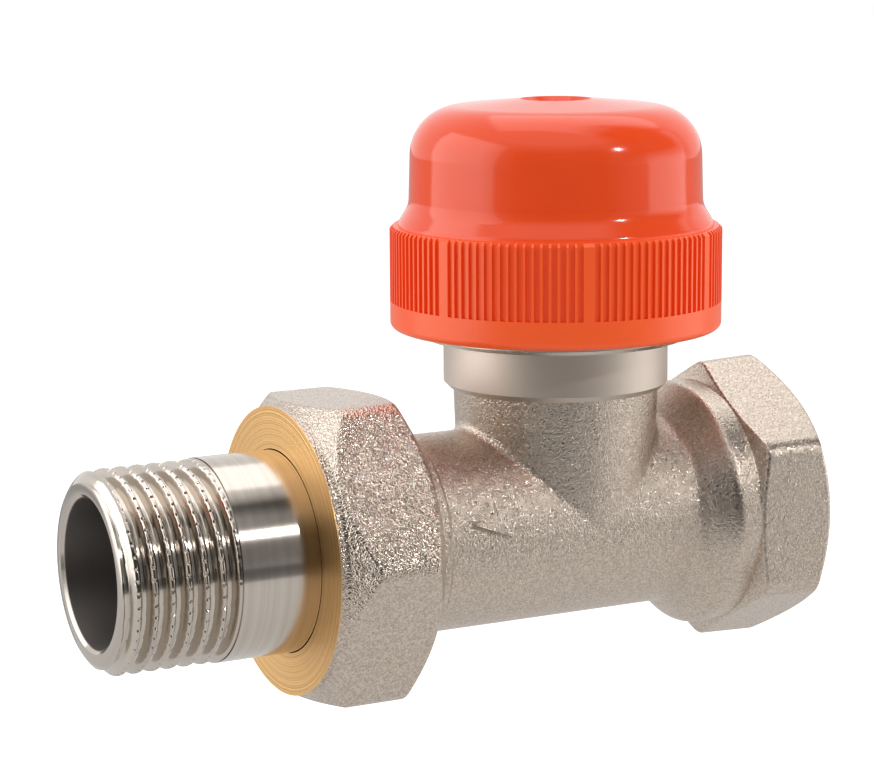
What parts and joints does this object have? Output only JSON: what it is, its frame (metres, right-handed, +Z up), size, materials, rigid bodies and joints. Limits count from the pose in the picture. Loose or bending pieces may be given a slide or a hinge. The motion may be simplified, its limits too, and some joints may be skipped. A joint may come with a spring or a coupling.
{
  "type": "radiator temperature control valve",
  "caption": "Straight nickel-plated radiator control valve with a hexagon inlet socket, a union nut and threaded tail, and an orange screw cap that opens and closes it by pushing a sprung stem.",
  "frame": {"origin": "centre of the inlet socket's mouth, where the pipe from the boiler screws in", "axes": "+X out of the inlet along the pipe axis, so the tail points to -X; +Z up along the stem towards the cap"},
  "size_m": [0.0807, 0.0356, 0.0613],
  "materials": {
    "blasted_nickel": "nickel plate over a shot-blasted brass forging, coarse sparkling grain",
    "turned_nickel": "nickel plate over turned brass, satin",
    "bright_nickel": "nickel plate over smooth turned brass, bright",
    "raw_brass": "turned brass, unplated",
    "stem_steel": "stainless steel, ground",
    "seal_rubber": "black moulded rubber",
    "white_plastic": "moulded bearing plastic",
    "orange_plastic": "glossy moulded plastic with a ribbed grip"
  },
  "bodies": {
    "valve": {"valve_body": "blasted_nickel", "bonnet": "turned_nickel", "bonnet_o_ring": "seal_rubber", "spring_guide": "raw_brass", "gland_nut": "turned_nickel", "gland_o_ring": "seal_rubber", "stem_o_ring": "seal_rubber", "gland_guide": "white_plastic"},
    "stem": {"push_pin": "stem_steel", "spindle": "raw_brass", "spindle_clip": "stem_steel", "spring_washer": "stem_steel", "return_spring": "stem_steel", "disc_holder": "raw_brass", "seal_disc": "seal_rubber", "disc_washer": "stem_steel", "disc_nut": "raw_brass"},
    "cap": {"protective_cap": "orange_plastic"},
    "tail": {"union_tail": "bright_nickel", "tail_o_ring": "seal_rubber"},
    "nut": {"union_nut": "blasted_nickel"}
  },
  "joints": [
    {"name": "stem_slide", "type": "slide", "parent": "valve", "child": "stem", "axis": [0, 0, 1], "range_m": [-0.00225, 0], "deforming": ["return_spring"]},
    {"name": "cap_turn", "type": "hinge", "parent": "stem", "child": "cap", "pos_m": [-0.0267, 0, 0.03], "axis": [0, 0, 1], "range_deg": [-540, 0]},
    {"name": "tail_slide", "type": "slide", "parent": "valve", "child": "tail", "axis": [1, 0, 0], "range_m": [-0.00635, 0]},
    {"name": "nut_turn", "type": "hinge", "parent": "tail", "child": "nut", "pos_m": [-0.0537, 0, 0], "axis": [1, 0, 0], "range_deg": [-1260, 0]}
  ],
  "couplings": [
    {"joint": "stem_slide", "follows": "cap_turn", "m_per_rad": 0.00023873},
    {"joint": "tail_slide", "follows": "nut_turn", "m_per_rad": 0.00028871}
  ]
}
